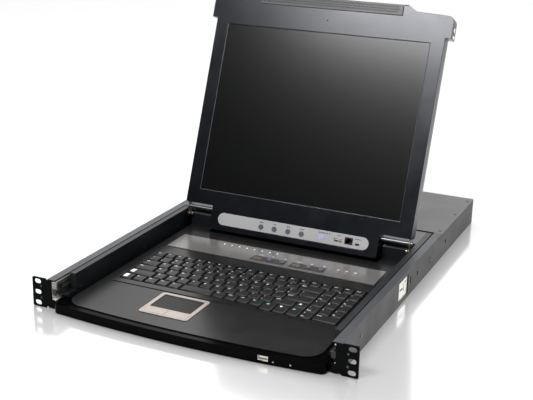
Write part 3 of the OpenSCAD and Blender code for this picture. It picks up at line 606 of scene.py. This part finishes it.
def islands(node):
    """(low, high) corners in mm of each separate solid of a CAD node, front row first."""
    bm = bmesh.new()
    bm.from_mesh(NODES[node].data)
    bmesh.ops.remove_doubles(bm, verts=bm.verts, dist=1e-6)
    left = set(bm.verts)
    found = []
    while left:
        queue = [left.pop()]
        group = list(queue)
        while queue:
            for edge in queue.pop().link_edges:
                for vert in edge.verts:
                    if vert in left:
                        left.remove(vert)
                        queue.append(vert)
                        group.append(vert)
        low = [min(vert.co[i] for vert in group) / MM for i in range(3)]
        high = [max(vert.co[i] for vert in group) / MM for i in range(3)]
        found.append((low, high))
    bm.free()
    # Whole rows of the number pad differ by more than the arrow keys' extra depth
    return sorted(found, key=lambda box: (round(box[1][1] / 9), box[0][0]))


def rounded(x0, x1, y0, y1, radius, z, steps=3):
    """A ring of points (metres) along a rectangle with round corners, counter-clockwise."""
    ring = []
    for cx, cy, start in ((x1 - radius, y0 + radius, -90), (x1 - radius, y1 - radius, 0),
                          (x0 + radius, y1 - radius, 90), (x0 + radius, y0 + radius, 180)):
        for step in range(steps + 1):
            angle = math.radians(start + 90 * step / steps)
            ring.append(Vector((cx + radius * math.cos(angle), cy + radius * math.sin(angle), z)) * MM)
    return ring


def add_key_cap(bm, low, high):
    """A tapered cap with a softly dished top, inside the CAD key's box."""
    (x0, y0, z0), (x1, y1, z1) = low, high

    def ring(side, front, back, radius, z):
        return rounded(x0 + side, x1 - side, y0 + front, y1 - back, radius, z)

    add_loft(bm, [ring(0.25, 0.25, 0.25, 0.6, z0), ring(0.0, 0.0, 0.0, 0.7, z0 + 0.4),
                  ring(0.15, 0.1, 0.1, 0.8, z0 + 1.8), ring(1.25, 1.15, 0.75, 1.2, z1 - 0.45),
                  ring(1.5, 1.4, 1.0, 1.3, z1 - 0.12), ring(1.9, 1.8, 1.4, 1.4, z1),
                  ring(2.9, 2.6, 2.4, 1.8, z1 - 0.55 * KEY_DISH),
                  ring(4.3, 4.0, 3.8, 1.9, z1 - KEY_DISH)])


def add_legend(bm, legend, low, high):
    """White letters near the cap's upper left corner. Cyan arrows take material 1."""
    top = high[2] - 0.35 * KEY_DISH
    x0, y0, y1 = low[0] + 2.4, low[1] + 2.3, high[1] - 1.9
    depth = y1 - y0
    if legend == "block":
        add_box(bm, (x0, y0 + 0.2 * depth, top - 0.2), (x0 + 6.2, y1 - 0.5, top + 0.05))
    elif legend in ARROWS:
        middle = Matrix.Translation(Vector((x0 + 4.6, y1 - 5.0, 0)) * MM)
        turn = Matrix.Rotation(math.radians(ARROWS[legend]), 4, "Z")
        add_prism(bm, [(-2.0, -2.4), (2.6, 0), (-2.0, 2.4)], top - 0.2, top + 0.05, middle @ turn,
                  1 if legend in ("left", "right") else 0)
    elif isinstance(legend, tuple):
        upper, lower = legend
        for letter, size, y in ((upper, 2.8, y1 - 1.8), (lower, 2.6, y0 + 2.4)):
            add_text(bm, letter, size, Matrix.Translation(Vector((x0, y, top)) * MM), KEY_INK, "LEFT")
    elif legend:
        size = 3.7 if len(legend) == 1 else min(2.5, 0.38 * depth)
        add_text(bm, legend, size, Matrix.Translation(Vector((x0, y1 - 2.2, top)) * MM), KEY_INK, "LEFT")


def key_group(node, body):
    """Shaped caps in place of a CAD row's plain keys, and their legends."""
    caps, letters = bmesh.new(), bmesh.new()
    for (low, high), legend in zip(islands(node), LEGENDS[node]):
        add_key_cap(caps, low, high)
        add_legend(letters, legend, low, high)
    obj = piece(f"{body}_caps", caps, [MATERIALS["key_plastic"]], body,
                replaces=[node])
    for polygon in obj.data.polygons:
        polygon.use_smooth = True
    piece(f"{body}_legends", letters, [INK, CYAN_INK], body)


for key_body, members in frame["record"]["behaviour"]["bodies"].items():
    if members[0] in LEGENDS:
        key_group(members[0], key_body)


# ---------------------------------------------------------------- screws and marks

def cross(size, width):
    """The outline of a cross recess."""
    s, w = size, width
    return [(w, -w), (s, -w), (s, w), (w, w), (w, s), (-w, s), (-w, w), (-s, w), (-s, -w),
            (-w, -w), (-w, -s), (w, -s)]


def add_screw(bm, matrix, radius, height):
    """A pan head on +Z with a dark cross recess (material 1): a dark inlay, painted shade where the hollow
    would be.
    """
    profile = [(radius, -0.1), (radius, 0.35 * height), (0.86 * radius, 0.75 * height),
               (0.55 * radius, 0.95 * height), (0.1 * radius, height)]
    add_turned(bm, profile, matrix, segments=20)
    # Dark cross inlay: painted shade of the recess
    add_prism(bm, cross(0.55 * radius, 0.14 * radius), 0.6 * height, height + 0.03, matrix, 1)


def screws():
    """Cover, wall and ear screws in place of the CAD's plain heads, and the drawer's own."""
    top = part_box("rear_top_cover")[1].z / MM
    chassis, ears, drawer, back = (bmesh.new() for _ in range(4))
    places = [(side * 211, y) for side in (-1, 1) for y in (455, 545, 625)]
    for x, y in places + [(x, 636) for x in (-120, 0, 120)]:
        add_screw(chassis, place(RACK, x, y, top), 2.9, 0.7)
    for side in (-1, 1):
        for y, z in ((626, 19.7), (378, 21), (72, 22.6)):
            add_screw(chassis, place(RACK, side * 217.5, y, z, facing_x(side)), 2.7, 0.8)
        for z in (31, 14):
            add_screw(ears, place(RACK, side * 227, 0, z, FACING_FRONT), 1.7, 0.5)
        for y, z in ((48.6, 19), (222.7, 20.4), (330, 20.4)):
            add_screw(drawer, place(RACK, side * 195, y, z, facing_x(-side)), 2.4, 0.7)
        for s in (14, 150, 268):
            add_screw(back, place(DISPLAY, side * 178, DISPLAY_BACK, s, FACING_REAR), 2.6, 0.4)
    blacks = [MATERIALS["dark_screw"], MATERIALS["black_plastic"]]
    piece("chassis_screw_heads", chassis, blacks, "chassis", replaces=["chassis_screws"])
    piece("ear_screw_heads", ears, blacks, "chassis")
    piece("drawer_screw_heads", drawer, blacks, "drawer")
    piece("display_screw_heads", back, blacks, "display")


screws()


def slide_details():
    """Punched slots and rivets on the slides, seen through the wall windows and in front."""
    outer, middle, inner, plate = (bmesh.new() for _ in range(4))
    for side in (-1, 1):
        # A punched plate just inside the wall's window, its slots dark from a black sheet behind it: painted
        # shade
        behind = place(RACK, side * 214.6, 250.5, 21,
                       facing_x(side) @ Matrix.Rotation(side * math.pi / 2, 4, "Z"))
        slots = [rectangle(-13, 2, -1.6, 1.6), rectangle(4, 7, -6, 7), rectangle(9, 16, 5, 8),
                 circle(-17, 9, 1.5, 12), circle(17, -9, 1.5, 12)]
        add_plate(plate, [rectangle(-23, 23, -16, 16), *slots], 0, 1.2, behind)
        # Black sheet behind the plate: painted shade seen through its slots
        add_box(plate, (-0.5, 228, 6), (0, 273, 36), place(RACK, side * 214.4, 0, 0,
                Matrix.Diagonal((side, 1, 1, 1))), 1)
        for rivets, x, places in ((outer, 211, (60, 200, 300, 420)), (middle, 208.8, (24, 60, 210, 400)),
                                  (inner, 205.4, (27, 110, 300, 412))):
            for y in places:
                add_turned(rivets, [(2.1, -0.1), (1.9, 0.25), (1.2, 0.4)],
                           place(RACK, side * x, y, 24.5, facing_x(-side)))
    metals = [MATERIALS["steel"], MATERIALS["black_plastic"]]
    piece("outer_slide_rivets", outer, metals, "chassis")
    piece("slide_lock_plates", plate, [MATERIALS["zinc"], MATERIALS["black_plastic"]], "chassis")
    piece("middle_slide_rivets", middle, metals, "slide_middle")
    piece("inner_slide_rivets", inner, metals, "drawer")


slide_details()


# ---------------------------------------------------------------- port panel

PANEL_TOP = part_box("port_panel")[1].z / MM
# Middles of the two insets, and the places of their buttons and windows from there
INSET_XS, INSET_Y = (-3.7, 60.6), 270
BUTTON_DXS, BUTTON_DY = (1, 21.3), 2.3
WINDOW_DX = -18.8
LAMP_FOOT = 15.2
# The fascia's curved front: its half width, how far its middle stands out, and its bow
FASCIA_X, FASCIA_FRONT, FASCIA_BOW = 201, 21, 11


def add_digit(bm, x, matrix):
    """The seven unlit bars of a digit on its window (material 1)."""
    for dx, dy, upright in ((0, 3.4, 0), (0, 0, 0), (0, -3.4, 0), (-1.9, 1.7, 1), (1.9, 1.7, 1),
                            (-1.9, -1.7, 1), (1.9, -1.7, 1)):
        half_x, half_y = (0.3, 1.3) if upright else (1.5, 0.3)
        add_box(bm, (x + dx - half_x, 1 + dy - half_y, PANEL_TOP - 0.15),
                (x + dx + half_x, 1 + dy + half_y, PANEL_TOP - 0.06), matrix, 1)


def add_inset(x, plates, windows, marks):
    """A recessed field with two buttons and a tinted window for two digits."""
    here = place(RACK, x, INSET_Y, 0)
    floor_z = PANEL_TOP - 0.4
    outline = [(-28.2, -9.8), (28.3, -9.8), (28.3, 9.8), (-26.8, 9.8)]
    window = rectangle(WINDOW_DX - 7, WINDOW_DX + 7, -4.5, 6.5)
    holes = [circle(dx, BUTTON_DY, 4.35, 24) for dx in BUTTON_DXS]
    add_plate(plates, [outline, window, *holes], floor_z - 0.05, floor_z + 0.08, here)
    add_box(windows, (WINDOW_DX - 6.8, -4.3, 15), (WINDOW_DX + 6.8, 6.3, PANEL_TOP - 0.1), here)
    for digit_x in (WINDOW_DX - 3.1, WINDOW_DX + 3.1):
        add_digit(windows, digit_x, here)
    for dx, turn in zip(BUTTON_DXS, (90, 270)):
        spot = place(RACK, x + dx, 286, PANEL_TOP, Matrix.Rotation(math.radians(turn), 4, "Z"))
        add_prism(marks, [(-1.4, -1.9), (1.8, 0), (-1.4, 1.9)], -0.1, 0.04, spot)
    add_box(marks, (WINDOW_DX - 4, 14.6, PANEL_TOP - 0.1), (WINDOW_DX + 4, 15.6, PANEL_TOP + 0.04), here)


def add_lamps(lamps, marks):
    """Eight numbered port lamps, three lock lamps with grey labels, and two in the fascia."""
    for i in range(8):
        x = -94 + 13.1 * i
        add_turned(lamps, [(1.05, LAMP_FOOT), (1.05, PANEL_TOP + 0.05), (0.7, PANEL_TOP + 0.35),
                           (0.15, PANEL_TOP + 0.45)], place(RACK, x, 301, 0), 14)
        add_text(marks, str(i + 1), 2.0, place(RACK, x, 296.4, PANEL_TOP))
    for letter, x in zip("1AS", (105.4, 118.9, 132.5)):
        add_turned(lamps, [(1.05, LAMP_FOOT), (1.05, PANEL_TOP), (0.7, PANEL_TOP + 0.25),
                           (0.15, PANEL_TOP + 0.3)], place(RACK, x, 275, 0), 14, 1)
        add_box(marks, (x - 2.1, 281, PANEL_TOP - 0.1), (x + 2.1, 285.5, PANEL_TOP + 0.04), RACK, 1)
        add_text(marks, letter, 2.8, place(RACK, x, 283.2, PANEL_TOP + 0.05))
    for x in (133.8, 156.7):
        y = -FASCIA_FRONT + FASCIA_BOW * (x / FASCIA_X) ** 2
        add_turned(lamps, [(1.1, -2), (1.1, -0.15), (0.8, 0.05), (0.15, 0.12)],
                   place(RACK, x, y, 5.4, FACING_FRONT), 14, 1)


def port_panel_details():
    """The insets with their number windows, the lamps, and the marks beside them."""
    plates, windows, lamps, marks = (bmesh.new() for _ in range(4))
    for x in INSET_XS:
        add_inset(x, plates, windows, marks)
    add_lamps(lamps, marks)
    dark = textured_plastic("inset_grey", (0.035, 0.034, 0.034), 0.32)
    # The unlit segments glow faintly: painted glow
    segment = glow("unlit_segment_painted_glow", (0.3, 0.2, 0.17), 0.04, (0.19, 0.15, 0.135))
    white_lamp = glow("white_lamp", (1.0, 0.99, 0.95), 0.55, (0.85, 0.85, 0.83))
    dim_lamp = glow("dim_lamp", (0.55, 0.56, 0.6), 0.08, (0.34, 0.34, 0.36))
    pale_ink = textured_plastic("pale_ink", (0.62, 0.61, 0.60), 0.5, bump=0.02)
    grey_ink = textured_plastic("grey_ink", (0.40, 0.39, 0.385), 0.45, bump=0.02)
    piece("port_insets", plates, [dark], "drawer")
    piece("port_windows", windows, [MATERIALS["lens"], segment], "drawer", bevel=0.12,
          replaces=["status_lights"])
    lamp_caps = piece("lamp_caps", lamps, [white_lamp, dim_lamp], "drawer")
    lamp_caps.data.shade_smooth()
    piece("port_panel_marks", marks, [pale_ink, grey_ink], "drawer")


port_panel_details()


# ---------------------------------------------------------------- display front

def handle_plate():
    """Perforated grip in the top bar, in place of the CAD's plain insert."""
    half, low_s, high_s, pitch, row_pitch = 120.2, 314.8, 331.2, 4.6, 3.9
    here = DISPLAY @ FACING_FRONT
    bm = bmesh.new()
    holes = []
    for row in range(3):
        y = low_s + 4.2 + row * row_pitch
        for i in range(50):
            x = -half + 6 + i * pitch + (row % 2) * pitch / 2
            if x < half - 5:
                holes.append(circle(x, y, 1.45, 8))
    add_plate(bm, [rectangle(-half, half, low_s, high_s), *holes], -1.6, -0.4, here)
    add_box(bm, (-125, 2.4, 311), (125, 4, 329.5), DISPLAY, 1)
    add_box(bm, (-half, 0.2, low_s - 0.1), (half, 2.3, low_s + 0.9), DISPLAY)
    for x in (-half, half - 0.9):
        add_box(bm, (x, 0.25, low_s + 0.9), (x + 0.9, 2.3, 329), DISPLAY)
    piece("handle_plate", bm, [MATERIALS["grille_grey"], MATERIALS["black_plastic"]], "display",
          replaces=["handle_grille"])


handle_plate()


def strip_details():
    """Printed marks on the control strip, the lit ring and the dot on the top bar."""
    here = DISPLAY @ FACING_FRONT
    marks, ring, dot, contacts = (bmesh.new() for _ in range(4))
    front = 0.5

    def mark(x0, x1, low, high, material=0):
        add_box(marks, (x0, -front - 0.04, low), (x1, -front + 0.1, high), DISPLAY, material)

    for x, shapes in ((-53, (-2.3, 0, 2.3)), (-29.8, (-1.4, 1.4)), (-6.1, (-1.4, 1.4)),
                      (17.1, (-2.8, 0, 2.8))):
        for dx in shapes:
            mark(x + dx - 0.95, x + dx + 0.95, -38.2, -36.6)
    for x in (47, 50, 53, 56, 60, 64):
        mark(x - 1.1, x + 1.1, -37.6, -36.2)
    for x0, x1, s in ((76, 83, -37.4), (106, 117, -38.4)):
        mark(x0, x1, s, s + 0.8)
    for s in (-42.4, -45.4):
        mark(56.5, 61.5, s, s + 1.3, 1)
    add_plate(ring, [circle(50, -44.4, 4.6, 32), circle(50, -44.4, 3.35, 32)],
              front - 0.1, front + 0.12, here)
    add_turned(dot, [(1.5, -0.2), (1.4, 0.15), (0.9, 0.35), (0.2, 0.4)],
               place(DISPLAY, 0, 0, 296, FACING_FRONT), 20)
    for i in range(4):
        add_box(contacts, (76.1 + i * 1.65, 0.8, -44.45), (76.9 + i * 1.65, 10, -44.25), DISPLAY)
    violet = glow("violet_mark", (0.35, 0.33, 0.9), 0.12, (0.34, 0.34, 0.62))
    halo = glow("violet_ring", (0.6, 0.6, 1.0), 0.1, (0.40, 0.40, 0.6))
    piece("strip_marks", marks, [DARK_INK, violet], "display")
    piece("power_ring", ring, [halo], "display")
    piece("bar_dot", dot, [MATERIALS["black_plastic"]], "display").data.shade_smooth()
    piece("usb_contacts", contacts, [MATERIALS["brass"]], "display")
    NODES["display_power_button"].data.materials[0] = glow("lit_button", (0.6, 0.6, 1.0), 0.14,
                                                           (0.36, 0.36, 0.52))


strip_details()


def screen_edge_painted_light():
    """Thin edge lines of the screen opening: painted highlights at the left and below, painted shade at the
    right.
    """
    half = 171.8
    bm = bmesh.new()
    # Grey lines at the left and below are painted highlights; the black line at the right is painted shade.
    add_box(bm, (-half, 0.25, 0), (-half + 0.55, 1.6, 276), DISPLAY)
    add_box(bm, (-half, 0.25, 0), (half, 1.6, 0.5), DISPLAY)
    add_box(bm, (half - 0.9, 0.1, 0.5), (half, 1.6, 276), DISPLAY, 1)
    piece("screen_edge_painted_light", bm, [MATERIALS["trim_grey"], MATERIALS["black_plastic"]], "display", bevel=0.12)


screen_edge_painted_light()


# ---------------------------------------------------------------- two-tone CAD nodes and painted light on the wall flanges

def assign(node, slots, choose):
    """Gives a CAD node more materials: choose(centre in mm, normal) picks one per face."""
    mesh = NODES[node].data
    for material in slots:
        mesh.materials.append(material)
    for polygon in mesh.polygons:
        centre = polygon.center - Vector((0, EAR_FACE_Y, 0))
        polygon.material_index = choose(centre / MM, polygon.normal)


def paint_light_on_flanges():
    """The top flanges of the side walls, their upward faces, get a lighter, bluer colour than the walls:
    painted light from above.
    """
    for node in ("left_side_wall", "right_side_wall"):
        assign(node, [MATERIALS["flange_painted_light"]], lambda _, normal: 1 if normal.z > 0.9 else 0)


paint_light_on_flanges()


def socket_colours():
    """Insulators and shells of the sockets, by where their faces lie."""
    rear_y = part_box("computer_ports")[1].y / MM - EAR_FACE_Y / MM
    shell = textured_plastic("socket_tongue", (0.55, 0.54, 0.5), 0.45)

    def insulator(centre, _):
        return 0 if rear_y - 3.1 < centre.y < rear_y - 0.75 else 1

    assign("computer_ports", [MATERIALS["steel"]], insulator)

    def console(centre, normal):
        if abs(centre.x + 92) > 20:
            return 0
        return 2 if insulator(centre, normal) == 0 else 1

    assign("console_ports", [MATERIALS["steel"], MATERIALS["video_blue"]], console)
    inside = DISPLAY.inverted() @ RACK

    def display_port(centre, _):
        local = inside @ (centre * MM) / MM
        if not 70 < local.x < 88:
            return 0
        return 2 if abs(local.x - 79) < 5.6 and -44.4 < local.z < -42.4 and local.y > 0.5 else 1

    assign("display_ports", [MATERIALS["nickel"], shell], display_port)

    def front_port(centre, _):
        return 1 if abs(centre.x - 120) < 5.6 and 8.3 < centre.z < 10.3 and centre.y > -15.3 else 0

    assign("front_usb_port", [shell], front_port)
    NODES["front_usb_port"].data.materials[0] = MATERIALS["nickel"]


socket_colours()


# ---------------------------------------------------------------- rear marks

def rear_marks():
    """Numbers over the computer sockets, rings over the round ones, the rocker's line."""
    marks, rocker = bmesh.new(), bmesh.new()
    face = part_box("rear_panel")[1].y / MM - EAR_FACE_Y / MM
    for i in range(8):
        add_text(marks, str(i + 1), 3.0, place(RACK, -57 + 33 * i, face, 33.5, FACING_REAR))
    for x in (-135, -118):
        add_plate(marks, [circle(0, 0, 1.6, 20), circle(0, 0, 1.2, 20)], -0.05, 0.04,
                  place(RACK, x, face, 33.5, FACING_REAR))
    middle = (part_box("power_rocker")[0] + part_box("power_rocker")[1]) / 2 / MM
    top_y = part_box("power_rocker")[1].y / MM - EAR_FACE_Y / MM
    here = place(RACK, middle.x, top_y - 0.45, middle.z, FACING_REAR)
    add_box(rocker, (-0.35, 3.6, -0.3), (0.35, 6.8, 0.25), here)
    piece("socket_numbers", marks, [INK], "chassis")
    piece("rocker_mark", rocker, [INK], "power_switch")


rear_marks()


# ---------------------------------------------------------------- display back

def back_details():
    """Pressed vent louvres and a four-screw field on the back of the display housing."""
    louvres, field = bmesh.new(), bmesh.new()
    for side in (-1, 1):
        for i in range(14):
            here = place(DISPLAY, side * (40 + 8 * i), DISPLAY_BACK, 236, FACING_REAR)
            add_box(louvres, (-1.6, -14, -0.2), (1.6, 14, 0.7), here)
            # Black strip beside each louvre: painted shade of its open slot
            add_box(louvres, (1.6, -14, -0.2), (2.5, 14, 0.06), here, 1)
    for x in (-50, 50):
        for s in (85, 185):
            add_screw(field, place(DISPLAY, x, DISPLAY_BACK, s, FACING_REAR), 2.8, 0.5)
    piece("back_louvres", louvres, [MATERIALS["housing_plastic"], MATERIALS["black_plastic"]], "display",
          bevel=0.3)
    piece("back_field_screws", field, [MATERIALS["dark_screw"], MATERIALS["black_plastic"]], "display")


back_details()
